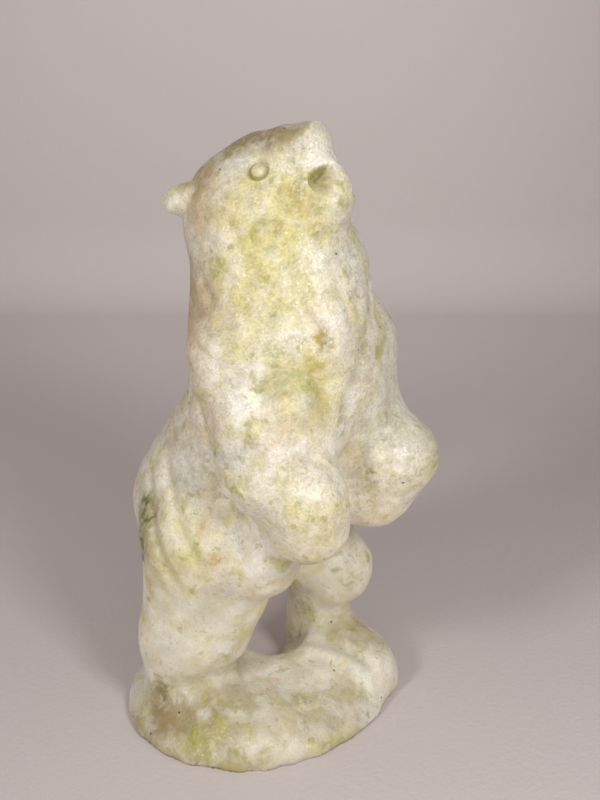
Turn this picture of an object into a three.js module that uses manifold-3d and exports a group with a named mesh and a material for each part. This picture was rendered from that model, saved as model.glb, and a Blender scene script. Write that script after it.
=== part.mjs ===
// A standing bear carved from one block of pale green stone, its head lifted, on a low rough mound.
// Millimetres, +Z up. The origin is the middle of the flat underside. The bear faces -Y.
import * as THREE from "three";
import { MarchingCubes } from "three/addons/objects/MarchingCubes.js";
import { mergeVertices } from "three/addons/utils/BufferGeometryUtils.js";
import Module from "manifold-3d";

// Driving sizes
const BEAR_HEIGHT = 132; // from the ground that the feet stand on to the top of the nose
const GROUND_HEIGHT = 10; // from the flat underside to that ground
const MOUND_WIDTH = 72; // across the bear
const MOUND_DEPTH = 63; // from front to back
const MOUTH_WEB = 4.2; // stone left between the scoops on the two sides of the mouth
const MOUTH_OPENING = 8.6; // from the upper lip to the lower lip
const EYE_RING_RADIUS = 1.9;
const EYE_GROOVE_WIDTH = 1;
const FURROW_RADIUS = 2.6;
const FURROW_DEPTH = 0.8;

const stone = new THREE.MeshStandardMaterial({ color: 0xd6d3b4, roughness: 0.45, metalness: 0 });

// The pose and the proportions are drawn on a bear that is 132 parts tall, from the ground up
const PART = BEAR_HEIGHT / 132;
const long = (parts) => parts * PART;
const size = (x, y, z) => new THREE.Vector3(long(x), long(y), long(z));
const at = (x, y, z) => new THREE.Vector3(long(x), long(y), long(z) + GROUND_HEIGHT);

// Distance to an ellipsoid, close to true near its surface, with its front raised by tilt degrees
function ball(centre, radii, tilt = 0) {
  const turn = new THREE.Matrix4().makeRotationX(THREE.MathUtils.degToRad(tilt));
  const p = new THREE.Vector3();
  return (point) => {
    p.subVectors(point, centre).applyMatrix4(turn).divide(radii);
    const reach = p.length();
    const slope = p.divide(radii).length();
    return slope === 0 ? -radii.x : (reach * (reach - 1)) / slope;
  };
}

// Distance to a limb that runs from one point to another and tapers between two radii
function limb(from, to, startRadius, endRadius) {
  const along = new THREE.Vector3().subVectors(to, from);
  const p = new THREE.Vector3();
  return (point) => {
    p.subVectors(point, from);
    const t = THREE.MathUtils.clamp(p.dot(along) / along.lengthSq(), 0, 1);
    p.addScaledVector(along, -t);
    return p.length() - THREE.MathUtils.lerp(long(startRadius), long(endRadius), t);
  };
}

// Joins two distances with a fillet about as wide as the blend
function soften(a, b, blend) {
  const overlap = Math.max(blend - Math.abs(a - b), 0) / blend;
  return Math.min(a, b) - (overlap * overlap * blend) / 4;
}

// A distance to several masses, filleted into each other
function mass(blend, ...parts) {
  return (point) => {
    let nearest = Infinity;
    for (const part of parts) {
      const distance = part(point);
      nearest = nearest === Infinity ? distance : soften(nearest, distance, blend);
    }
    return nearest;
  };
}

const trunk = mass(
  8,
  ball(at(0, 9.9, 39.5), size(23, 23.8, 20.5)),
  ball(at(0, 3, 52), size(20, 20, 24)),
  ball(at(0, -8, 76), size(21, 20, 24)),
  limb(at(0, -7, 88), at(0, -3.2, 105), 19.5, 17.3),
);
const throat = ball(at(3, -13, 99), size(13, 10.5, 11));
const belly = ball(at(-7.5, -19.5, 66.5), size(9.5, 9, 10.5));
const chestBump = ball(at(-12.8, -20.2, 73.5), size(7.6, 7.2, 7.6));
const head = mass(
  3,
  ball(at(0, -0.5, 110.7), size(14, 17, 14.2), 12),
  limb(at(0, -5, 118.3), at(0, -11, 121.9), 10.1, 7.6),
  ball(at(0, -14, 126.2), size(5.4, 4.9, 4.6)),
  limb(at(0, -6, 110), at(0, -18, 115), 13.5, 6.8),
  ball(at(0, -18.2, 117.2), size(5.6, 5.7, 6)),
);
const rightArm = mass(
  3,
  limb(at(-15, -8, 84), at(-16.5, -17, 60), 11, 10),
  limb(at(-16.5, -17, 60), at(-14.5, -26, 55), 10, 8.5),
  limb(at(-14.5, -26, 55), at(-13, -25.5, 48.5), 8.5, 9),
  limb(at(-11.5, -16, 48), at(-12, -14.5, 40), 8, 7),
);
const leftArm = mass(
  3,
  limb(at(15.8, -13.7, 79.3), at(16.3, -16.6, 69), 11, 9),
  ball(at(10, -18.5, 73), size(10, 8, 13)),
  limb(at(17, -20, 60), at(15.5, -28.5, 56.5), 9, 8.5),
  limb(at(15.5, -28.5, 55), at(13.5, -23.5, 46), 8.5, 8.5),
  ball(at(10, -15, 49), size(8, 10, 12)),
);
const rightLeg = mass(
  5,
  limb(at(-12, 6, 34), at(-11, -9, 34.6), 13.5, 10.2),
  limb(at(-12.5, 6, 34), at(-15.7, 6.5, 13), 14.5, 13.3),
  ball(at(-10.5, 1.5, 23), size(10.2, 10, 10.5)),
  limb(at(-19, 9, 8), at(-19.5, 8, -2), 9.5, 9),
);
const leftLeg = mass(
  3,
  limb(at(12.5, 4, 32), at(19.5, -7.5, 18.5), 13, 9.8),
  limb(at(19.8, -2.9, 14), at(20.3, -0.9, -3), 8.4, 8.2),
);
const mound = mass(
  5,
  ball(new THREE.Vector3(), new THREE.Vector3(MOUND_WIDTH / 2, MOUND_DEPTH / 2, GROUND_HEIGHT + 1)),
  ball(at(-20, -6, -5), size(9.5, 18, 7)),
  ball(at(16.2, -10.4, -2.8), size(10.5, 16, 7)),
  ball(at(17.2, -9.2, -9), size(12.5, 17, 10)),
);
// The hollow between the legs, which falls away to the left and to the back
const hollow = limb(at(5.7, 1.9, 7), at(34.6, 26.2, -17.5), 10, 12);

const ground = (point) => -soften(-mound(point), hollow(point), 3);

// Every mass after the trunk, with the width of the fillet that joins it to those before it
const masses = [
  [throat, 6],
  [belly, 2],
  [chestBump, 2],
  [head, 5],
  [rightArm, 3],
  [leftArm, 7],
  [ground, 3],
  [rightLeg, 4],
  [leftLeg, 4],
];
const SPARE = 5; // stone left under the underside, for the flat cut

// Distance to the whole form. Below the underside it runs straight down, as far as the spare.
function form(point) {
  const p = point.clone();
  p.z = Math.max(p.z, 0);
  let distance = trunk(p);
  for (const [part, fillet] of masses) distance = soften(distance, part(p), fillet);
  return Math.max(distance, -SPARE - point.z);
}

// The lattice that the form is sampled on, finer at the head than at the mound
const LAYERS = 49;
const GRADING = 0.2;
const CLEARANCE = 9; // between the form and the ends of the lattice
const LATTICE_BOTTOM = -SPARE - CLEARANCE;
const LATTICE_HEIGHT = GROUND_HEIGHT + BEAR_HEIGHT + CLEARANCE - LATTICE_BOTTOM;
const LEAST = 0.02; // no lattice corner counts as closer to the surface, so that no sliver forms
function latticePoint(x, y, z) {
  const t = (z + 1) / 2;
  const spread = (LATTICE_HEIGHT / 2) * (1 + GRADING * (1 - 2 * t));
  const rise = LATTICE_HEIGHT * (t + GRADING * t * (1 - t));
  return new THREE.Vector3(x * spread, y * spread, rise + LATTICE_BOTTOM);
}

// Fills every gap narrower than a cell, where the surface would touch itself
function fillPinches(field) {
  const steps = [1, LAYERS, LAYERS * LAYERS];
  const last = field.length - steps[1] - steps[2];
  let filled = true;
  while (filled) {
    filled = false;
    for (let q = 0; q < last; q++) {
      for (let axis = 0; axis < 3; axis++) {
        const u = steps[axis];
        const v = steps[(axis + 1) % 3];
        const ring = [q, q + u, q + u + v, q + v];
        const inside = ring.map((corner) => field[corner] > 0);
        if (inside[0] !== inside[2] || inside[1] !== inside[3] || inside[0] === inside[1]) continue;
        const open = inside[0] ? [ring[1], ring[3]] : [ring[0], ring[2]];
        const nearer = field[open[0]] > field[open[1]] ? open[0] : open[1];
        field[nearer] = LEAST;
        filled = true;
      }
    }
  }
}

const MOST_TRIANGLES = 40000;
function polygonised() {
  const cubes = new MarchingCubes(LAYERS, stone, false, false, MOST_TRIANGLES);
  cubes.isolation = 0;
  const half = cubes.halfsize;
  for (let k = 0; k < LAYERS; k++) {
    for (let j = 0; j < LAYERS; j++) {
      for (let i = 0; i < LAYERS; i++) {
        const depth = -form(latticePoint((i - half) / half, (j - half) / half, (k - half) / half));
        cubes.field[i + LAYERS * (j + LAYERS * k)] = Math.abs(depth) < LEAST ? LEAST : depth;
      }
    }
  }
  fillPinches(cubes.field);
  cubes.update();
  const corners = new THREE.BufferGeometry();
  const places = cubes.positionArray.slice(0, cubes.count * 3);
  corners.setAttribute("position", new THREE.BufferAttribute(places, 3));
  const merged = mergeVertices(corners, 1e-5);
  const place = merged.getAttribute("position");
  for (let i = 0; i < place.count; i++) {
    const p = latticePoint(place.getX(i), place.getY(i), place.getZ(i));
    place.setXYZ(i, p.x, p.y, p.z);
  }
  return merged;
}

// The direction in which the form's distance grows, and how fast
function slopeAt(point) {
  const probe = 0.05;
  const d = form(point);
  const q = new THREE.Vector3();
  return new THREE.Vector3(
    form(q.copy(point).setX(point.x + probe)) - d,
    form(q.copy(point).setY(point.y + probe)) - d,
    form(q.copy(point).setZ(point.z + probe)) - d,
  ).divideScalar(probe);
}

// Evens out the triangles and sets every corner back on the form
function relax(geometry, rounds) {
  const place = geometry.getAttribute("position");
  const index = geometry.index.array;
  const around = Array.from({ length: place.count }, () => new Set());
  for (let i = 0; i < index.length; i += 3) {
    for (let c = 0; c < 3; c++) {
      around[index[i + c]].add(index[i + ((c + 1) % 3)]);
      around[index[i + c]].add(index[i + ((c + 2) % 3)]);
    }
  }
  const p = new THREE.Vector3();
  const q = new THREE.Vector3();
  for (let round = 0; round < rounds; round++) {
    const next = new Float32Array(place.array.length);
    for (let i = 0; i < place.count; i++) {
      p.set(0, 0, 0);
      for (const n of around[i]) p.add(q.fromBufferAttribute(place, n));
      p.divideScalar(around[i].size).lerp(q.fromBufferAttribute(place, i), 0.4);
      for (let step = 0; step < 2; step++) {
        const slope = slopeAt(p);
        const steep = slope.lengthSq();
        if (steep > 0.01) p.addScaledVector(slope, -THREE.MathUtils.clamp(form(p) / steep, -1, 1));
      }
      next.set([p.x, p.y, p.z], 3 * i);
    }
    place.array.set(next);
  }
  return geometry;
}

const wasm = await Module();
wasm.setup();
function solidOf(geometry, tolerance = 1e-4) {
  const bare = geometry.clone();
  bare.deleteAttribute("normal");
  bare.deleteAttribute("uv");
  const merged = mergeVertices(bare, tolerance);
  return new wasm.Manifold(new wasm.Mesh({
    numProp: 3,
    vertProperties: new Float32Array(merged.getAttribute("position").array),
    triVerts: new Uint32Array(merged.index.array),
  }));
}
function geometryOf(solid) {
  const mesh = solid.getMesh();
  const geometry = new THREE.BufferGeometry();
  geometry.setAttribute("position", new THREE.BufferAttribute(mesh.vertProperties, mesh.numProp));
  geometry.setIndex(new THREE.BufferAttribute(mesh.triVerts, 1));
  geometry.computeVertexNormals();
  return geometry;
}

// One side of the open mouth: a rounded scoop between the lips, from the cheek to the web
function mouthScoop(side) {
  const depth = long(6.4);
  const scoop = new THREE.SphereGeometry(1, 18, 10);
  scoop.scale(depth, long(4.4), MOUTH_OPENING / 2);
  const middle = at(0, -22.2, 119.4);
  return solidOf(scoop.translate(side * (MOUTH_WEB / 2 + depth), middle.y, middle.z));
}

// Where the form ends on the way from a point inside it to one outside
function surfaceBetween(inside, outside) {
  const inner = inside.clone();
  const outer = outside.clone();
  for (let step = 0; step < 30; step++) {
    const middle = inner.clone().lerp(outer, 0.5);
    if (form(middle) < 0) inner.copy(middle);
    else outer.copy(middle);
  }
  return inner;
}
const beside = (side, y, z) => surfaceBetween(at(0, y, z), at(side * 50, y, z));
const ahead = (x, z) => surfaceBetween(at(x, -10, z), at(x, -60, z));
const onGround = (x, y) => surfaceBetween(at(x, y, -5), at(x, y, 16));

// An ear laid back against the head, egg-shaped, with its narrow end free
function ear(side) {
  const root = at(side * 10, 8, 113.2);
  const tip = at(side * 13.1, 15.5, 112.2);
  const back = new THREE.Vector3().subVectors(tip, root);
  const lobe = new THREE.SphereGeometry(1, 12, 8).scale(long(4.2), back.length(), long(4));
  const turn = new THREE.Quaternion();
  turn.setFromUnitVectors(new THREE.Vector3(0, 1, 0), back.clone().normalize());
  return solidOf(lobe.applyQuaternion(turn).translate(root.x, root.y, root.z));
}

function eyeRing(side) {
  const place = beside(side, -8.3, 120.7);
  const facing = slopeAt(place).normalize();
  const ring = new THREE.TorusGeometry(EYE_RING_RADIUS, EYE_GROOVE_WIDTH / 2, 6, 20);
  ring.applyQuaternion(new THREE.Quaternion().setFromUnitVectors(new THREE.Vector3(0, 0, 1), facing));
  return solidOf(ring.translate(place.x, place.y, place.z));
}

// A shallow furrow along points of the surface, as a round tool leaves it
function furrow(points) {
  const lift = FURROW_RADIUS - FURROW_DEPTH;
  const path = points.map((point) => point.clone().addScaledVector(slopeAt(point).normalize(), lift));
  let cut = null;
  for (let i = 1; i < path.length; i++) {
    const along = new THREE.Vector3().subVectors(path[i], path[i - 1]);
    const rod = new THREE.CapsuleGeometry(FURROW_RADIUS, along.length(), 3, 10);
    const turn = new THREE.Quaternion();
    turn.setFromUnitVectors(new THREE.Vector3(0, 1, 0), along.clone().normalize());
    const middle = path[i - 1].clone().lerp(path[i], 0.5);
    const piece = solidOf(rod.applyQuaternion(turn).translate(middle.x, middle.y, middle.z));
    cut = cut === null ? piece : cut.add(piece);
  }
  return cut;
}
// Two furrows of long fur fall forward over each hip, the second one behind and below the first
function hipFurrow(side, number) {
  const points = [];
  for (let step = 0; step <= 4; step++) {
    points.push(beside(side, 11.8 + 5.5 * number - 3.9 * step, 56 - 4.8 * number - 5.2 * step));
  }
  return furrow(points);
}
// A crease parts the left upper arm from its forearm, from the outside down to the armpit
function elbowCrease() {
  return furrow([ahead(15.5, 68.3), ahead(10.3, 66.8), ahead(5, 65.3), ahead(2, 62)]);
}
// Two furrows mark the inner edge of the left foot on the mound
function footFurrow(number) {
  const points = [];
  for (let step = 0; step <= 3; step++) {
    points.push(onGround(8.5 - 3.5 * number + 1.4 * step, -8 - 4.5 * number - 5.5 * step));
  }
  return furrow(points);
}

const block = solidOf(relax(polygonised(), 6), 1e-7);
const underside = new THREE.BoxGeometry(4 * MOUND_WIDTH, 4 * MOUND_DEPTH, 4 * SPARE);
const table = solidOf(underside.translate(0, 0, -2 * SPARE));
let carving = block.subtract(table);
for (const side of [-1, 1]) {
  carving = carving.add(ear(side)).subtract(mouthScoop(side)).subtract(eyeRing(side));
  for (const number of [0, 1]) {
    carving = carving.subtract(hipFurrow(side, number));
  }
}
carving = carving.subtract(footFurrow(0)).subtract(footFurrow(1)).subtract(elbowCrease());
const bear = new THREE.Mesh(geometryOf(carving), stone);
bear.name = "bear_carving";
const group = new THREE.Group();
group.add(bear);
export default group;
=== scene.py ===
"""A standing bear carved from pale green jade, on a plain pale sweep of paper.

Metres, +Z up. The bear faces -Y, and the photograph sees it from its front and right.
"""
import math

import bmesh
import bpy
import numpy as np
from mathutils import Matrix, Vector, noise
from mathutils.bvhtree import BVHTree


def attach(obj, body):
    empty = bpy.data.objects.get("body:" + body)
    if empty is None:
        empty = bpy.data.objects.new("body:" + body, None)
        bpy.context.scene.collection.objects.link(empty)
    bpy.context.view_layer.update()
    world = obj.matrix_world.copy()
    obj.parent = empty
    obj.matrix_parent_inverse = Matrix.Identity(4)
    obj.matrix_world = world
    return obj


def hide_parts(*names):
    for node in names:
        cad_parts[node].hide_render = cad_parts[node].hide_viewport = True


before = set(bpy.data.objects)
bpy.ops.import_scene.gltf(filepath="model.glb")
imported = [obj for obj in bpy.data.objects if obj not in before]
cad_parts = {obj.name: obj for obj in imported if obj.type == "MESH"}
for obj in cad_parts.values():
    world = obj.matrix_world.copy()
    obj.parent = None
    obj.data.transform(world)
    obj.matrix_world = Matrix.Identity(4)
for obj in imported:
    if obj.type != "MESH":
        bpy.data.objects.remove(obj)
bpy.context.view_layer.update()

MM = 0.001
scene = bpy.context.scene


def linear(colour):
    """An sRGB hex colour such as "e3dfc9" as linear red, green, blue and alpha"""
    parts = [int(colour[i:i + 2], 16) / 255 for i in (0, 2, 4)]
    return [c / 12.92 if c <= 0.04045 else ((c + 0.055) / 1.055) ** 2.4 for c in parts] + [1.0]


def add(tree, kind, inputs=None, **settings):
    """Adds one node with its settings; an input is a value or the socket that feeds it"""
    node = tree.nodes.new(kind)
    for name, value in settings.items():
        setattr(node, name, value)
    for name, value in (inputs or {}).items():
        if isinstance(value, bpy.types.NodeSocket):
            tree.links.new(value, node.inputs[name])
        else:
            node.inputs[name].default_value = value
    return node


# The photographer's view

IMAGE_WIDTH, IMAGE_HEIGHT = 600, 800
VIEW_AZIMUTH = math.radians(-50)
VIEW_PITCH = math.radians(20)
VIEW_ANGLE = math.radians(40)  # from the top of the picture to its bottom
ACROSS = Vector((math.cos(VIEW_AZIMUTH), math.sin(VIEW_AZIMUTH), 0))
AWAY = Vector((-math.sin(VIEW_AZIMUTH), math.cos(VIEW_AZIMUTH), 0))
UP = Vector((0, 0, 1))
AIM = AWAY * math.cos(VIEW_PITCH) - UP * math.sin(VIEW_PITCH)
PICTURE_UP = AWAY * math.sin(VIEW_PITCH) + UP * math.cos(VIEW_PITCH)


def in_studio(across, away, up):
    """A place given in millimetres from under the bear, as the photographer sees it"""
    return (ACROSS * across + AWAY * away + UP * up) * MM


EYE_POINT = in_studio(9.4, -237, 163)


def camera():
    lens = bpy.data.cameras.new("camera")
    lens.sensor_fit = "VERTICAL"
    lens.angle = VIEW_ANGLE
    lens.clip_start = 10 * MM
    eye = bpy.data.objects.new("camera", lens)
    turn = Matrix((ACROSS, PICTURE_UP, -AIM)).transposed()
    eye.matrix_world = Matrix.Translation(EYE_POINT) @ turn.to_4x4()
    scene.collection.objects.link(eye)
    scene.camera = eye


REACH = IMAGE_HEIGHT / 2 / math.tan(VIEW_ANGLE / 2)  # from the eye to the picture, in pixels


def sight(u, v):
    """The direction from the camera through a point of the picture, in its pixels"""
    across, down = (u - IMAGE_WIDTH / 2) / REACH, (v - IMAGE_HEIGHT / 2) / REACH
    return (AIM + ACROSS * across - PICTURE_UP * down).normalized()


def in_picture(places):
    """Where places come in the picture, in its pixels"""
    offset = places - np.array(EYE_POINT)
    away = offset @ np.array(AIM)
    u = IMAGE_WIDTH / 2 + REACH * (offset @ np.array(ACROSS)) / away
    v = IMAGE_HEIGHT / 2 - REACH * (offset @ np.array(PICTURE_UP)) / away
    return u, v


# The skin of the carving

SKIN_FACE = 0.69 * MM  # the size of a face of the fine skin
SANDING_ROUNDS = 7
EVENING_ROUNDS = 12  # spreads a value over a few faces of the skin


def tree_of(mesh):
    """A mesh as a search tree, for its nearest points and for what a ray meets"""
    bm = bmesh.new()
    bm.from_mesh(mesh)
    tree = BVHTree.FromBMesh(bm)
    bm.free()
    return tree


def places_of(piece):
    places = np.empty(len(piece.data.vertices) * 3)
    piece.data.vertices.foreach_get("co", places)
    return places.reshape(-1, 3)


def normals_of(piece):
    facing = np.empty(len(piece.data.vertices) * 3, np.float32)
    piece.data.vertices.foreach_get("normal", facing)
    return facing.reshape(-1, 3).astype(float)


def move_to(piece, places):
    piece.data.vertices.foreach_set("co", places.ravel())
    piece.data.update()


def evened(piece, values, rounds, chosen=slice(None)):
    """Values on the skin's points, the chosen ones averaged with their neighbours' a few times over"""
    ends = np.empty(len(piece.data.edges) * 2, int)
    piece.data.edges.foreach_get("vertices", ends)
    a, b = ends.reshape(-1, 2).T
    count = len(values)
    touching = np.bincount(a, minlength=count) + np.bincount(b, minlength=count)
    values = values.copy()
    for _ in range(rounds):
        around = np.bincount(a, values[b], count) + np.bincount(b, values[a], count)
        values[chosen] = (values[chosen] + (around / touching)[chosen]) / 2
    return values


def smooth_patch(piece, chosen, rounds):
    """Rubs the chosen points of the skin smooth"""
    places = places_of(piece)
    for axis in range(3):
        places[:, axis] = evened(piece, places[:, axis], rounds, chosen)
    move_to(piece, places)


def settle(piece, form):
    """Moves the skin out to the form that it was smoothed away from, without its facets"""
    def gap_at(place, outward):
        return (form.find_nearest(place)[0] - place).dot(outward)

    places, facing = places_of(piece), normals_of(piece)
    gap = np.array([gap_at(Vector(p), Vector(n)) for p, n in zip(places, facing)])
    move_to(piece, places + facing * evened(piece, gap, EVENING_ROUNDS)[:, None])


def finer(piece, centre, radius, cuts):
    """Divides the skin's faces around a point, so that it takes a sharper cut"""
    bm = bmesh.new()
    bm.from_mesh(piece.data)
    near = [e for e in bm.edges if all((v.co - centre).length < radius for v in e.verts)]
    bmesh.ops.subdivide_edges(bm, edges=near, cuts=cuts, use_grid_fill=True)
    bm.to_mesh(piece.data)
    bm.free()


def fine_skin():
    """The CAD solid as one fine, even skin with its facets smoothed away"""
    bm = bmesh.new()
    bm.from_mesh(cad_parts["bear_carving"].data)
    bmesh.ops.remove_doubles(bm, verts=bm.verts, dist=1e-6)
    mesh = bpy.data.meshes.new("bear_stone")
    bm.to_mesh(mesh)
    form = BVHTree.FromBMesh(bm)
    bm.free()
    piece = bpy.data.objects.new("bear_stone", mesh)
    scene.collection.objects.link(piece)
    rounded = piece.modifiers.new("rounded", "SUBSURF")
    rounded.levels = rounded.render_levels = 1
    even = piece.modifiers.new("even", "REMESH")
    even.mode = "VOXEL"
    even.voxel_size = SKIN_FACE
    sanded = piece.modifiers.new("sanded", "SMOOTH")
    sanded.factor = 0.5
    sanded.iterations = SANDING_ROUNDS
    finished = bpy.data.meshes.new_from_object(piece.evaluated_get(bpy.context.evaluated_depsgraph_get()))
    piece.modifiers.clear()
    piece.data = finished
    bpy.data.meshes.remove(mesh)
    settle(piece, form)
    settle(piece, form)
    return piece


# The carver's strokes

def rounded_path(points, rounds=2):
    """Cuts the corners of a path, so that a hand could have drawn it"""
    for _ in range(rounds):
        cut = [points[0]]
        for a, b in zip(points, points[1:]):
            cut += [a.lerp(b, 0.25), a.lerp(b, 0.75)]
        points = cut + [points[-1]]
    return points


def seen_at(stone, u, v):
    """The place on the stone that shows at a point of the picture, or None beside the bear"""
    return stone.ray_cast(EYE_POINT, sight(u, v))[0]


def on_near_side(stone, *picture_points):
    """A path on the stone, through points of the picture"""
    path = rounded_path([Vector((u, v)) for u, v in picture_points])
    hits = [seen_at(stone, *p) for p in path]
    return [hit for hit in hits if hit is not None]


def on_far_side(stone, path):
    """The same path on the side of the bear that the picture doesn't show"""
    return [stone.find_nearest(Vector((-p.x, p.y, p.z)))[0] for p in path]


WELL_BEHIND = 0.1  # metres behind the bear's middle, outside its back


def from_behind(stone, *points):
    """A path down the back, through points given as across and up in millimetres"""
    path = rounded_path([Vector(p) for p in points])
    hits = [stone.ray_cast(Vector((x * MM, WELL_BEHIND, z * MM)), Vector((0, -1, 0)))[0] for x, z in path]
    return [hit for hit in hits if hit is not None]


def from_path(path, places):
    """How far each place is from a path, and how far along the path it lies, from 0 to 1"""
    nearest = np.full(len(places), np.inf)
    along = np.zeros(len(places))
    points = np.array(path)
    steps = np.linalg.norm(np.diff(points, axis=0), axis=1)
    gone = np.concatenate(([0], np.cumsum(steps))) / steps.sum()
    for i, (a, b) in enumerate(zip(points, points[1:])):
        leg = b - a
        t = np.clip((places - a) @ leg / max(leg @ leg, 1e-12), 0, 1)
        away = np.linalg.norm(places - a - t[:, None] * leg, axis=1)
        closer = away < nearest
        nearest[closer] = away[closer]
        along[closer] = (gone[i] + t * (gone[i + 1] - gone[i]))[closer]
    return nearest, along


# Each stroke: its width and depth in millimetres, and its path in the picture. The furrows of the
# fur are on both sides of the bear, and the creases between its masses only where the picture shows them.
FUR = [
    (3.4, 0.60, [(226, 214), (237, 247), (256, 277), (272, 296)]),
    (3.4, 0.85, [(198, 262), (207, 297), (222, 318), (240, 330)]),
    (3.2, 0.90, [(192, 300), (200, 318), (213, 332), (232, 342)]),
    (2.6, 0.38, [(190, 330), (199, 350), (213, 362), (230, 370)]),
    (3.6, 0.85, [(258, 306), (276, 318), (298, 328), (320, 346)]),
    (3.0, 0.60, [(300, 290), (320, 316), (334, 350)]),
    (2.6, 0.60, [(336, 288), (350, 312), (356, 340)]),
    (1.6, 0.14, [(374, 426), (362, 446), (354, 468)]),
    (1.6, 0.14, [(390, 424), (378, 450), (368, 480)]),
    (1.6, 0.14, [(402, 436), (393, 462), (384, 494)]),
]
CREASES = [
    (2.0, 0.30, [(243, 240), (256, 246), (274, 249), (297, 245)]),  # under the jaw
    (3.4, 0.95, [(262, 410), (268, 388), (284, 376), (303, 374), (319, 386), (328, 412)]),  # over the belly
    # Under the right arm, then along the left arm
    (3.0, 0.75, [(196, 392), (206, 431), (212, 461), (222, 485), (236, 511), (252, 522)]),
    (3.2, 0.55, [(371, 300), (369, 330), (362, 356), (355, 383), (348, 404), (341, 424)]),
    (3.0, 0.50, [(290, 452), (308, 458), (323, 466), (336, 478), (347, 494)]),  # over the right paw
    (3.4, 0.60, [(152, 683), (178, 686), (206, 682), (231, 669), (247, 652)]),  # under the right leg
    (4.5, 0.60, [(243, 672), (250, 690), (252, 710), (248, 734)]),  # between the feet
]
BACK_STROKE = (2.6, 0.45)

# The saddle between the brow and the nose, from side to side in millimetres
BRIDGE_STROKE = (5.0, 1.3)
BRIDGE = [(-5.8, -15, 136.8), (-4.5, -12.9, 138.9), (0, -12, 139.8), (4.5, -12.9, 138.9), (5.8, -15, 136.8)]
BRIDGE_RUBBED = 4 * MM  # rubbed smooth as far as this from its middle

# The fold between the left arm's two parts, in the picture, which is rubbed almost away
ARM_FOLD = [(398, 384), (381, 401), (360, 423)]
ARM_FOLD_RUBBED = 6 * MM

# Soft swellings: height, radius and place in millimetres
SWELLINGS = [
    (1.7, 6.6, (-17.9, -24.6, 86.4)),  # the belly fold
    (1.6, 9.0, (7, -27, 67)),  # the left arm
    (1.2, 7.0, (8, -28, 79)),
]

# Unevenness: its height and size in millimetres
SANDED = (0.16, 4.5)
CHISELLED = (0.50, 5)
PICKED = (0.18, 2.2)
MOUND_TOP = 13 * MM
GROUND_EDGE = 1.5 * MM  # the mound's edge is smooth up to here


def back_furrows():
    """Locks of fur down the back and the haunches, three to a side: across and up in millimetres"""
    for side in (-1, 1):
        for i in range(3):
            yield [
                (side * (3 + 6 * i), 104 - 2 * i),
                (side * (3.5 + 6.6 * i), 88 - 3 * i),
                (side * (3 + 7 * i), 70 - 3 * i)]
            yield [
                (side * (4 + 7 * i), 62 - 4 * i),
                (side * (5 + 7 * i), 48 - 4 * i),
                (side * (3 + 6 * i), 34 - 2 * i)]


# The gouge that opens the mouth, in the picture: the lip over it, the web beside it, the cheek under it
LIP = [(308.5, 186), (307.5, 178), (309.5, 172.5), (313, 169), (318.5, 166), (325, 163.5), (333, 162)]
WEB = [(333, 162), (335, 172), (338, 185)]
CHEEK = [(338, 185), (334, 194), (324, 196), (315, 192), (308.5, 186)]
MOUTH_DEPTH = 4.6 * MM
MOUTH_MIDDLE = (321, 180)
MOUTH_REACH = 8 * MM  # nothing farther than this from its middle belongs to the mouth
MOUTH_FINE = 5.5 * MM
# In pixels inward from the edges of the gouge: where it is at full depth under the lip, how quickly it
# comes up again below that, and how far it fades in from the web and from the cheek
LIP_WALL, RUN_OUT, WEB_FADE, CHEEK_FADE = 3, 13, 16, 10


def inside_of(edges, u, v):
    """How far points of the picture lie inside a line of edges, in pixels"""
    depth = np.full(len(u), 99.0)
    for (u0, v0), (u1, v1) in zip(edges, edges[1:]):
        length = math.hypot(u1 - u0, v1 - v0)
        depth = np.minimum(depth, ((u1 - u0) * (v - v0) - (v1 - v0) * (u - u0)) / length)
    return depth


def beside_mouth(piece, middle):
    """The skin around the mouth as seen from either side, with the left side mirrored to the right"""
    places, facing = places_of(piece), normals_of(piece)
    mirror = np.where(places[:, :1] > 0, -1, 1) * np.array([[1, 0, 0]]) + np.array([[0, 1, 1]])
    here, outward = places * mirror, facing * mirror
    towards = ((np.array(EYE_POINT) - here) * outward).sum(axis=1) > 0
    near = towards & (np.linalg.norm(here - np.array(middle), axis=1) < MOUTH_REACH)
    u, v = in_picture(here)
    return places, mirror, outward, near, [inside_of(edges, u, v) for edges in (LIP, WEB, CHEEK)]


def carve_mouth(piece, middle):
    """Opens the mouth on both sides: a gouge, deepest under its sharp lip, which runs out on the cheek

    The lip, the web and the cheek are distances inside those edges, in pixels of the picture.
    """
    *_, near, (lip, web, cheek) = beside_mouth(piece, middle)
    smooth_patch(piece, near & (lip > -5) & (cheek > -5) & (web > 0), 60)
    for side in (1, -1):
        finer(piece, Vector((middle.x * side, middle.y, middle.z)), MOUTH_FINE, 2)
    places, mirror, outward, near, (lip, web, cheek) = beside_mouth(piece, middle)
    inside = near & (lip > 0) & (web > 0) & (cheek > 0)
    wall = np.sqrt(np.clip(lip / LIP_WALL, 0, 1)) * np.exp(-lip / RUN_OUT)
    sunk = MOUTH_DEPTH * wall * np.clip(web / WEB_FADE, 0, 1) * np.clip(cheek / CHEEK_FADE, 0, 1)
    inward = -outward[inside].mean(axis=0)
    inward /= np.linalg.norm(inward)
    places[inside] += sunk[inside, None] * (inward * mirror)[inside]
    move_to(piece, places)
    smooth_patch(piece, inside, 4)


def ramp(value, start, length):
    """Nought up to the start, and one from a length beyond it"""
    return min(max((value - start) / length, 0), 1)


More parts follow.
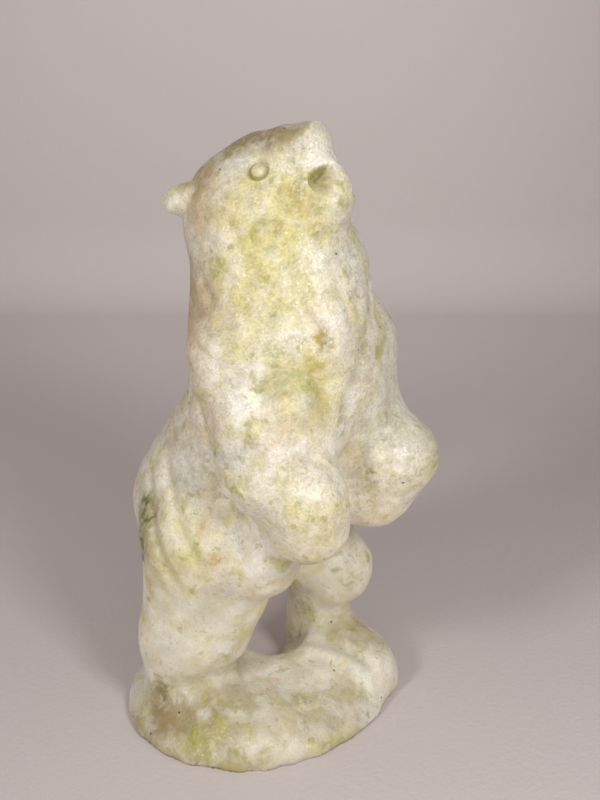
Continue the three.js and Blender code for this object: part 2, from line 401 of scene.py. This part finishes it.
def carve(piece, stone):
    """Sinks the furrows and creases into the skin, and roughens the mound"""
    fold = on_near_side(stone, *ARM_FOLD)
    smooth_patch(piece, from_path(fold, places_of(piece))[0] < ARM_FOLD_RUBBED, 120)
    places, facing = places_of(piece), normals_of(piece)
    sunk = np.zeros(len(places))

    def stroke(path, width, depth):
        """A rounded groove that fades at both ends, with a slight lip along each side"""
        reach = 3 * width * MM
        low, high = np.min(path, axis=0) - reach, np.max(path, axis=0) + reach
        near = np.nonzero(((places > low) & (places < high)).all(axis=1))[0]
        away, along = from_path(path, places[near])
        away /= width * MM / 2
        taper = np.clip(5 * np.minimum(along, 1 - along) + 0.15, 0, 1)
        lip = 0.10 * np.exp(-((away - 2.1) / 0.9) ** 2)
        sunk[near] += depth * MM * taper * (np.exp(-away ** 2) - lip)

    for width, depth, points in FUR:
        path = on_near_side(stone, *points)
        stroke(path, width, depth)
        stroke(on_far_side(stone, path), width, depth)
    for width, depth, points in CREASES:
        stroke(on_near_side(stone, *points), width, depth)
    for points in back_furrows():
        stroke(from_behind(stone, *points), *BACK_STROKE)
    bridge = [stone.find_nearest(Vector(p) * MM)[0] for p in BRIDGE]
    stroke(bridge, *BRIDGE_STROKE)
    for height, radius, middle in SWELLINGS:
        away = np.linalg.norm(places / MM - np.array(middle), axis=1) / radius
        sunk -= height * MM * np.clip(1 - away ** 2, 0, 1) ** 2

    def uneven(here, height, size):
        return height * MM * noise.noise(here / (size * MM))

    # Hand sanding leaves soft facets everywhere, and the mound is left rough from the point chisel
    elsewhere = Vector((7, 3, 1)) * CHISELLED[1] * MM
    for i, place in enumerate(places):
        here = Vector(place)
        sunk[i] += uneven(here, *SANDED)
        rough = ramp(MOUND_TOP - place[2], 0, 5 * MM) * ramp(place[2], GROUND_EDGE, 4 * MM)
        if rough > 0:
            sunk[i] += rough * (uneven(here + elsewhere, *CHISELLED) + uneven(here, *PICKED))
    places -= facing * sunk[:, None]

    # The underside is ground flat, and its edge is rubbed smooth
    edge = np.nonzero(places[:, 2] < 2.5 * MM)[0]
    under = (places[:, 2] < 0.5 * MM) & (facing[:, 2] < -0.5)
    places[under, 2] = 0
    places[:, 2] = np.maximum(places[:, 2], 0)
    move_to(piece, places)
    smooth_patch(piece, from_path(bridge, places)[0] < BRIDGE_RUBBED, 16)
    smooth_patch(piece, edge, 10)
    places = places_of(piece)
    places[under, 2] = 0
    move_to(piece, places)


# The drilled eye, in millimetres: a groove around a low dome
RIGHT_EYE = (257.5, 169.5)  # in the picture
EYE_RING = 1.9  # radius of the groove's middle
EYE_GROOVE_WIDTH, EYE_GROOVE_DEPTH = 0.48, 0.70
EYE_DOME_RADIUS, EYE_DOME_HEIGHT = 1.4, 0.40


def carve_eye(piece, centre):
    """Drills the ring of one eye and rounds the dome inside it"""
    smooth_patch(piece, np.linalg.norm(places_of(piece) - np.array(centre), axis=1) < 3.6 * MM, 12)
    finer(piece, centre, 4.5 * MM, 2)
    places, facing = places_of(piece), normals_of(piece)
    offset = places - np.array(centre)
    reach = np.linalg.norm(offset, axis=1)
    outward = facing[reach < 2 * MM].mean(axis=0)
    outward /= np.linalg.norm(outward)
    from_axis = np.linalg.norm(offset - (offset @ outward)[:, None] * outward, axis=1) / MM
    near = reach < 4.2 * MM
    ring = EYE_GROOVE_DEPTH * np.exp(-((from_axis - EYE_RING) / EYE_GROOVE_WIDTH) ** 2)
    dome = EYE_DOME_HEIGHT * np.clip(1 - (from_axis / EYE_DOME_RADIUS) ** 2, 0, 1)
    lift = (dome - ring) * MM
    places[near] += outward * lift[near, None]
    move_to(piece, places)


def paint_shade(piece, mouth, eyes):
    """Marks painted shade on the skin: in its hollows, under the lip in the mouth and in the grooves around
    the eyes, darkest at their bottom
    """
    places, facing = places_of(piece), normals_of(piece)
    # Painted shade in the hollows: the deeper the skin lies under its smoothed self, the darker
    around = np.stack([evened(piece, places[:, axis], 40) for axis in range(3)], axis=1)
    painted_shade = np.clip(((around - places) * facing).sum(axis=1) / (1.6 * MM), 0, 0.45)
    # Painted shade in the mouth: darkest just under the lip, fading towards the web and the cheek
    *_, near, (lip, web, cheek) = beside_mouth(piece, mouth)
    inside = near & (lip > 0) & (web > 0) & (cheek > 0)
    tint = np.clip(lip / 2.5, 0, 1) * np.exp(-lip / 22)
    tint = tint * np.clip(web / 12, 0.2, 1) * np.clip(cheek / 7, 0, 1)
    painted_shade[inside] = tint[inside]
    # Painted shade in the groove around each eye, darkest at its bottom
    for eye in eyes:
        offset = (places - np.array(eye)) / MM
        away = np.linalg.norm(offset, axis=1)
        low = 0.7 - 0.3 * np.clip(offset[:, 2] / EYE_RING, -1, 1)
        painted_shade = np.where(away < 3, np.exp(-((away - EYE_RING) / 0.5) ** 2) * low, painted_shade)
    marks = piece.data.attributes.new("painted_shade", "FLOAT", "POINT")
    marks.data.foreach_set("value", painted_shade.astype(np.float32))


def bear():
    piece = fine_skin()
    stone = tree_of(piece.data)
    right_eye = seen_at(stone, *RIGHT_EYE)
    left_eye = on_far_side(stone, [right_eye])[0]
    mouth = seen_at(stone, *MOUTH_MIDDLE)
    carve(piece, stone)
    carve_mouth(piece, mouth)
    eyes = [tree_of(piece.data).find_nearest(eye)[0] for eye in (right_eye, left_eye)]
    for eye in eyes:
        carve_eye(piece, eye)
    # Painted shade in the hollows, the mouth and the eye grooves
    paint_shade(piece, mouth, eyes)
    piece.data.shade_smooth()
    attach(piece, "root")
    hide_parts("bear_carving")
    return piece


# The stone

# Serpentine jade, sanded and waxed: a milky, faintly translucent stone with a sugary grain. The eye sees
# creamy white with yellow and olive clouds, pinkish and brown where iron has stained it, and a dull sheen.
# Some of the pink and brown, and the dark olive in the hollows and the mouth, is painted shade.
CREAM = "ece3cb"
MILK_GREY = "dad5c4"
YELLOW = "ddd28c"
YELLOW_GREEN = "cbc470"
OLIVE = "a5a248"
MOSS = "7b7b40"
PEACH = "dcc39c"
RUST = "c79b55"
GOLD = "ad9740"
BROWN = "9c8554"
EARTH = "ad9f74"
SUGAR = "f8f3e8"
PAINTED_SHADE_OLIVE = "8f8a44"
# Dark olive for the painted shade in the hollows, the mouth and the eye grooves
PIT = "45402c"

# Stains in the stone, and some painted shade: colour, strength, radius and place in millimetres. A comment
# names where the bear has them, and goes for the lines under it too.
WIDE_STAINS_AND_SHADE = [
    (YELLOW, 0.90, 17, (-10, -14, 122)),  # head
    (YELLOW, 0.70, 17, (-14, -12, 106)),  # neck
    (YELLOW, 0.75, 13, (-12, -24, 88)),  # chest
    (YELLOW, 0.50, 13, (-16, -30, 62)),  # right paw
    (MILK_GREY, 0.85, 11, (9, -23, 108)),  # left of the throat
    (MILK_GREY, 0.80, 16, (14, -24, 88)),  # left arm
    (MILK_GREY, 0.65, 15, (14, -30, 72)),
    (EARTH, 0.20, 13, (14, -34, 66)),
    (EARTH, 0.40, 12, (2, -25, 96)),  # chest, towards the left
    # Peach on the shoulder, the upper arm and the back of the head: partly the stone's tint, partly painted
    # shade on that side
    (PEACH, 0.95, 15, (-20, 0, 100)),  # shoulder
    (PEACH, 0.55, 12, (-25, -6, 82)),  # upper arm
    (PEACH, 0.85, 11, (-12, 6, 126)),  # back of the head
    # Painted shade: brown where the head turns away from the light, on its top, its back and the nape
    (BROWN, 0.90, 11, (-3, 1, 139)),  # top of the head
    (BROWN, 0.85, 8, (-4, -10, 139)),
    (BROWN, 0.55, 11, (-11, 9, 128)),
    (BROWN, 0.45, 15, (-12, 13, 106)),  # nape
    (YELLOW, 0.60, 16, (-25, 4, 48)),  # hip
    (MILK_GREY, 0.70, 13, (-23, -6, 34)),  # thigh
    (EARTH, 0.35, 14, (-25, 0, 38)),
    (MILK_GREY, 0.75, 10, (-24, 2, 20)),  # shin
    (MILK_GREY, 0.60, 13, (12, -14, 30)),  # left leg
    (EARTH, 0.95, 22, (-27, -8, 2)),  # mound
    (EARTH, 0.60, 15, (-6, -26, 4)),
    (BROWN, 0.75, 13, (-33, 6, 4)),
    (EARTH, 0.70, 11, (17, -16, 13)),
    # Brown along the back's edge: partly the stone's brown, partly painted shade where the back turns away
    # from the light
    (BROWN, 0.55, 13, (-20, 8, 104)),  # back, seen at its edge
    (BROWN, 0.35, 12, (-18, 12, 74)),
    # Peach behind the jaw: partly the stone's tint, partly painted shade
    (PEACH, 0.60, 10, (-17, -1, 122)),  # behind the jaw
    (SUGAR, 0.95, 9, (-14, 14, 122)),  # ears
    (SUGAR, 0.95, 9, (14, 14, 122)),
    # Earth brown along the haunch's edge: partly the stone's colour, partly painted shade where it turns
    # away from the light
    (EARTH, 0.60, 12, (-26, 14, 50)),  # haunch, along its edge
]
SMALL_STAINS_AND_SHADE = [
    (GOLD, 0.70, 3.0, (-5.2, -14, 138.3)),  # bridge of the nose
    (GOLD, 0.60, 3.6, (-7.9, -0.6, 133.9)),
    (GOLD, 0.60, 2.8, (-11.6, -15.4, 120.4)),
    (GOLD, 0.60, 2.8, (-5.1, -21, 119.5)),
    # Painted shade: brown on the top of the head and the brow, where they turn away from the light
    (BROWN, 0.75, 5.0, (-4, -6, 138)),
    (BROWN, 0.70, 6.0, (-6, -1, 136)),
    (GOLD, 0.55, 4.4, (-8, -17, 126)),  # cheek
    (OLIVE, 0.45, 2.6, (-6, -22, 124.7)),
    # Olive in the mouth: partly the stone's colour, partly painted shade under the lip
    (OLIVE, 0.75, 2.6, (-4.6, -18.5, 130)),  # in the mouth
    (OLIVE, 0.35, 2.8, (-13, -13, 120)),
    (OLIVE, 0.60, 3.6, (-17.6, -5, 112)),  # neck
    (OLIVE, 0.35, 3.0, (-16, -2, 122)),
    (GOLD, 0.90, 3.4, (-8.6, -26, 98.2)),  # chest
    (YELLOW_GREEN, 0.60, 3.8, (-17.8, -20, 95.8)),
    (GOLD, 0.55, 4.0, (-10.9, -25.6, 93.3)),
    (RUST, 0.45, 2.6, (-17.4, -24, 87.7)),
    (BROWN, 0.70, 2.4, (-24.4, -20, 79.4)),  # arm
    (MOSS, 0.70, 1.4, (-24.8, -3.7, 91.8)),
    (YELLOW_GREEN, 0.60, 4.0, (-25.4, -9.8, 77)),
    (YELLOW_GREEN, 0.50, 4.0, (-27, -14.7, 70)),
    (YELLOW_GREEN, 0.55, 5.0, (-22, -31, 66)),  # paw
    (CREAM, 0.60, 5.5, (-19.6, -31.4, 56)),
    (OLIVE, 0.60, 3.0, (17.8, -37.4, 66)),  # left arm
    (OLIVE, 0.45, 2.8, (8, -28, 93)),
    (MOSS, 1.00, 7.0, (-24, 15, 53)),  # hip, down its edge
    (MOSS, 1.00, 6.5, (-25, 15, 44)),
    (RUST, 0.60, 3.5, (-27.3, 9.7, 36.9)),
    (RUST, 0.65, 3.0, (-22.4, -6.3, 46.9)),
    (MOSS, 0.60, 1.8, (-25.4, -10.5, 74)),
    (RUST, 0.40, 2.4, (-22, -3.3, 53)),
    (OLIVE, 0.55, 3.2, (-19.3, -5.8, 20)),  # knees
    (OLIVE, 0.60, 3.0, (-15, -20.5, 47.5)),
    (OLIVE, 0.55, 4.0, (14.7, -16, 29.4)),
    (OLIVE, 0.70, 2.6, (12, -12, 13.7)),  # left foot
    (OLIVE, 0.60, 2.4, (17.8, -15.8, 13.8)),
    (MOSS, 0.35, 5.0, (11.6, -2.5, 18.7)),
    (BROWN, 0.70, 4.5, (-29.2, 6.2, 8.4)),  # mound
    (MOSS, 0.75, 3.0, (-28.4, 5.8, 10.9)),
    (OLIVE, 0.75, 3.8, (-31, -7.2, 6)),
    (OLIVE, 0.60, 4.0, (-31.1, -12, 4.4)),
    (OLIVE, 0.55, 3.2, (-10, -29.6, 2)),
    (MOSS, 0.50, 3.0, (-8, -19, 8.4)),
    (OLIVE, 0.50, 3.0, (8.7, -28.7, 3.8)),
    (OLIVE, 0.45, 3.0, (-24.6, -22.7, 4.5)),
]


def jade():
    material = bpy.data.materials.new("waxed_serpentine_jade")
    material.use_nodes = True
    tree = material.node_tree
    tree.nodes.clear()
    here = add(tree, "ShaderNodeTexCoord").outputs["Object"]

    def scaled(vector, scale):
        return add(tree, "ShaderNodeVectorMath", {0: vector, "Scale": scale}, operation="SCALE").outputs[0]

    def pushed(place, size, reach):
        """A place pushed about by noise, so that what is read there has a wandering edge"""
        push = add(tree, "ShaderNodeTexNoise", {"Vector": place, "Scale": 1 / (size * MM), "Detail": 3.0})
        centred = add(tree, "ShaderNodeVectorMath", {
            0: push.outputs["Color"], 1: (0.5, 0.5, 0.5)}, operation="SUBTRACT").outputs[0]
        shift = scaled(centred, reach * MM)
        return add(tree, "ShaderNodeVectorMath", {0: place, 1: shift}).outputs[0]

    drift = pushed(here, 5, 4)

    def smoothed(value, low, high, least=0.0, most=1.0):
        """Takes a value that runs from low to high to one that runs gently from least to most"""
        return add(tree, "ShaderNodeMapRange", {
            "Value": value, "From Min": low, "From Max": high, "To Min": least, "To Max": most},
            interpolation_type="SMOOTHSTEP").outputs[0]

    def cloud(size, low, high, seed, detail=2.0, roughness=0.5):
        """A mask of clouds of a given size in millimetres, from nought under low to one over high"""
        moved = add(tree, "ShaderNodeVectorMath", {0: drift, 1: (seed, seed * 0.7, seed * 1.3)}).outputs[0]
        made = add(tree, "ShaderNodeTexNoise", {
            "Vector": moved, "Scale": 1 / (size * MM), "Detail": detail, "Roughness": roughness})
        return smoothed(made.outputs["Fac"], low, high)

    def times(a, b):
        return add(tree, "ShaderNodeMath", {0: a, 1: b}, operation="MULTIPLY").outputs[0]

    def over(under, mask, colour, strength):
        """Lays a colour over another where the mask is"""
        mixed = add(tree, "ShaderNodeMix", {
            "Factor": times(mask, strength), "A": under, "B": linear(colour)}, data_type="RGBA")
        return mixed.outputs["Result"]

    def tinted(under, tints, broken):
        """Lays stains and painted shade over a colour, each fading from a third of its radius, and broken
        up by a mask
        """
        for tint, strength, radius, place in tints:
            spot = [c * MM for c in place]
            far = add(tree, "ShaderNodeVectorMath", {0: drift, 1: spot}, operation="DISTANCE")
            mask = smoothed(far.outputs["Value"], radius * MM, radius * 0.3 * MM)
            under = over(under, times(mask, broken), tint, strength)
        return under

    # Clouds in the stone, and the stains and painted shade between them
    colour = over(linear(CREAM), cloud(14, 0.36, 0.66, 0.11), MILK_GREY, 1.0)
    colour = over(colour, cloud(11, 0.50, 0.68, 0.37), PEACH, 0.40)
    colour = over(colour, cloud(6.5, 0.46, 0.66, 0.71, 3.0), SUGAR, 0.60)
    colour = tinted(colour, WIDE_STAINS_AND_SHADE, smoothed(cloud(5, 0.34, 0.62, 0.97), 0, 1, 0.60, 1.0))
    colour = over(colour, cloud(6, 0.50, 0.70, 0.23, 3.0), YELLOW_GREEN, 0.45)
    colour = over(colour, cloud(4.5, 0.48, 0.68, 0.33, 3.0), SUGAR, 0.36)
    colour = tinted(colour, SMALL_STAINS_AND_SHADE, smoothed(cloud(1.5, 0.38, 0.62, 0.91, 4.0), 0, 1, 0.30, 1.0))
    colour = over(colour, cloud(3.0, 0.60, 0.74, 0.53), OLIVE, 0.55)
    colour = over(colour, times(cloud(0.9, 0.58, 0.70, 0.61), cloud(7, 0.48, 0.60, 0.67)), MOSS, 0.35)

    # Painted shade, in dark olive: in the hollows, under the lip in the mouth and around the drilled eyes
    painted_shade = add(tree, "ShaderNodeAttribute", attribute_name="painted_shade").outputs["Fac"]
    colour = over(colour, smoothed(painted_shade, 0, 1), PAINTED_SHADE_OLIVE, 0.85)

    # Sugary crystals: they make the stone lighter and darker but not another colour, and least low down,
    # where hands have worn them
    height = add(tree, "ShaderNodeSeparateXYZ", {0: here}).outputs["Z"]
    fresh = smoothed(height, 35 * MM, 70 * MM, 0.35, 1)
    crumb = add(tree, "ShaderNodeTexNoise", {
        "Vector": here, "Scale": 1 / (2.4 * MM), "Detail": 5.0, "Roughness": 0.68}).outputs["Fac"]
    grain = add(tree, "ShaderNodeTexVoronoi", {"Vector": here, "Scale": 1 / (0.42 * MM)}).outputs["Color"]
    light = smoothed(crumb, 0.30, 0.70, -0.14, 0.12)
    light = add(tree, "ShaderNodeMath", {0: light, 1: smoothed(grain, 0.1, 0.9, -0.09, 0.09)}).outputs[0]
    light = add(tree, "ShaderNodeMath", {0: light, 1: fresh, 2: 1.0}, operation="MULTIPLY_ADD").outputs[0]
    colour = scaled(colour, light)

    # Pin-prick pits, dark and a third of a millimetre wide, far apart
    pits = add(tree, "ShaderNodeTexVoronoi", {"Vector": here, "Scale": 1 / (7 * MM)})
    colour = over(colour, smoothed(pits.outputs["Distance"], 0.055, 0.03), PIT, 0.85)

    # Waxed grain: each crystal shines in its own way, over scratches too fine to see alone
    crystals = add(tree, "ShaderNodeTexVoronoi", {"Vector": here, "Scale": 1 / (0.6 * MM)})
    ripple = add(tree, "ShaderNodeTexNoise", {"Vector": here, "Scale": 1 / (2.2 * MM), "Detail": 6.0})
    relief = add(tree, "ShaderNodeMath", {
        0: crystals.outputs["Distance"], 1: ripple.outputs["Fac"]}, operation="ADD").outputs[0]
    bump = add(tree, "ShaderNodeBump", {
        "Height": relief, "Strength": 0.55, "Distance": 0.14 * MM}).outputs[0]
    gloss = smoothed(crystals.outputs["Color"], 0, 1, 0.28, 0.62)

    shader = add(tree, "ShaderNodeBsdfPrincipled", {
        "Base Color": colour, "Roughness": gloss, "IOR": 1.57, "Specular IOR Level": 0.45, "Normal": bump,
        "Subsurface Weight": 0.4, "Subsurface Radius": (1.0, 0.9, 0.6), "Subsurface Scale": 1.4 * MM})
    add(tree, "ShaderNodeOutputMaterial", {"Surface": shader.outputs[0]})
    return material


# The studio

PAPER = "dad0ce"


def paper():
    """Matt backdrop paper, pale warm grey with a faint tooth"""
    material = bpy.data.materials.new("matt_backdrop_paper")
    material.use_nodes = True
    tree = material.node_tree
    tree.nodes.clear()
    here = add(tree, "ShaderNodeTexCoord").outputs["Object"]
    tooth = add(tree, "ShaderNodeTexNoise", {"Vector": here, "Scale": 1 / (1.3 * MM), "Detail": 3.0})
    bump = add(tree, "ShaderNodeBump", {
        "Height": tooth.outputs["Fac"], "Strength": 0.6, "Distance": 0.2 * MM})
    shader = add(tree, "ShaderNodeBsdfPrincipled", {
        "Base Color": linear(PAPER), "Roughness": 0.9, "Normal": bump.outputs[0]})
    add(tree, "ShaderNodeOutputMaterial", {"Surface": shader.outputs[0]})
    return material


FLOOR_BEHIND = 345 * MM  # from the bear to where the paper turns up
FLOOR_BEFORE = 900 * MM
PAPER_BEND = 45 * MM  # the radius that it turns up with
BEND_STEPS = 16
PAPER_HEIGHT = 1400 * MM
PAPER_WIDTH = 2600 * MM


def backdrop():
    """A sheet of paper that lies under the bear and turns up behind it"""
    bm = bmesh.new()
    start = [bm.verts.new(ACROSS * side * PAPER_WIDTH / 2 - AWAY * FLOOR_BEFORE) for side in (-1, 1)]
    edge = [bm.edges.new(start)]
    steps = [AWAY * (FLOOR_BEFORE + FLOOR_BEHIND)]
    for i in range(BEND_STEPS):
        angle = math.pi / 2 * (i + 0.5) / BEND_STEPS
        heading = AWAY * math.cos(angle) + UP * math.sin(angle)
        steps.append(heading * PAPER_BEND * math.pi / 2 / BEND_STEPS)
    steps.append(UP * PAPER_HEIGHT)
    for step in steps:
        pushed = bmesh.ops.extrude_edge_only(bm, edges=edge)["geom"]
        corners = [g for g in pushed if isinstance(g, bmesh.types.BMVert)]
        bmesh.ops.translate(bm, verts=corners, vec=step)
        edges = [g for g in pushed if isinstance(g, bmesh.types.BMEdge)]
        edge = [e for e in edges if all(v in corners for v in e.verts)]
    bmesh.ops.recalc_face_normals(bm, faces=bm.faces)
    mesh = bpy.data.meshes.new("backdrop")
    bm.to_mesh(mesh)
    bm.free()
    sheet = bpy.data.objects.new("backdrop", mesh)
    scene.collection.objects.link(sheet)
    mesh.shade_smooth()
    mesh.materials.append(paper())


def hang(lamp, place, target):
    """Hangs a lamp at a place, turned to a target"""
    holder = bpy.data.objects.new(lamp.name, lamp)
    turn = (target - place).to_track_quat("-Z", "Y").to_matrix().to_4x4()
    holder.matrix_world = Matrix.Translation(place) @ turn
    scene.collection.objects.link(holder)


def soft_light(name, place, target, size, watts, colour):
    """A square soft box, its size in millimetres"""
    lamp = bpy.data.lights.new(name, "AREA")
    lamp.size = size * MM
    lamp.energy = watts
    lamp.color = linear(colour)[:3]
    hang(lamp, place, target)


def wall_light():
    """A spot that passes over the bear and brightens the paper behind it"""
    lamp = bpy.data.lights.new("backdrop", "SPOT")
    lamp.energy = 2.35
    lamp.spot_size = math.radians(64)
    lamp.spot_blend = 1.0
    lamp.shadow_soft_size = 20 * MM
    hang(lamp, in_studio(10, -60, 380), in_studio(0, 390, 150))


def studio():
    """The paper, one light from the front right, one from the front left and a weak one from low down"""
    backdrop()
    soft_light("window", in_studio(150, -250, 230), in_studio(0, 0, 70), 80, 0.46, "ffffff")
    soft_light("lamp", in_studio(-360, -440, 400), in_studio(0, 0, 60), 120, 1.22, "ffffff")
    soft_light("table", in_studio(60, -300, 60), in_studio(0, 0, 60), 60, 0.082, "fffaf2")
    wall_light()
    world = bpy.data.worlds.new("room")
    scene.world = world
    world.use_nodes = True
    ground = world.node_tree.nodes["Background"]
    ground.inputs["Color"].default_value = linear("fffaf8")
    ground.inputs["Strength"].default_value = 0.283
    scene.view_settings.view_transform = "Standard"


camera()
carving = bear()
carving.data.materials.clear()
carving.data.materials.append(jade())
studio()
